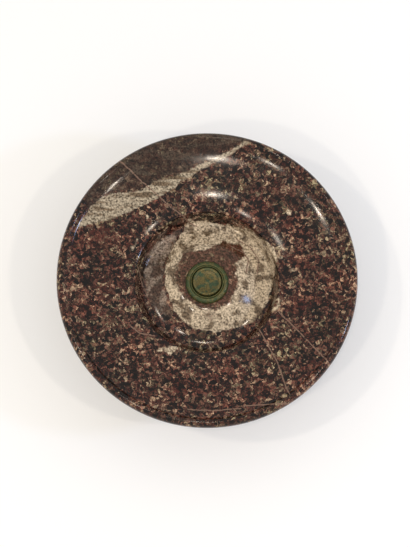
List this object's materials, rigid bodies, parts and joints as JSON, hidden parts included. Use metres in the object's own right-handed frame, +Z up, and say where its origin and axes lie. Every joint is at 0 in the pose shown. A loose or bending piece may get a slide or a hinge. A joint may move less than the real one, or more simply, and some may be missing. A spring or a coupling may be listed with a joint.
{
  "type": "footed marble bowl",
  "caption": "Shallow turned marble bowl with a sunken well and a bronze centre boss, clamped by a tie rod to a low marble foot.",
  "frame": {"origin": "centre of the felt's underside, on the surface that the bowl stands on", "axes": "+Z up along the axis that the bowl was turned on"},
  "size_m": [0.3, 0.3, 0.1037],
  "materials": {
    "marble": "polished",
    "bronze": "satin",
    "steel": "satin",
    "leather": "matte",
    "felt": "matte"
  },
  "bodies": {
    "root": {"felt_ring": "felt", "foot": "marble", "bedding_ring": "leather", "bowl": "marble", "boss_washer": "leather", "boss_plate": "bronze", "boss_cap_nut": "bronze", "tie_rod": "steel", "recess_gasket": "leather", "load_washer": "steel", "hex_nut": "steel", "lock_nut": "steel"}
  },
  "joints": []
}
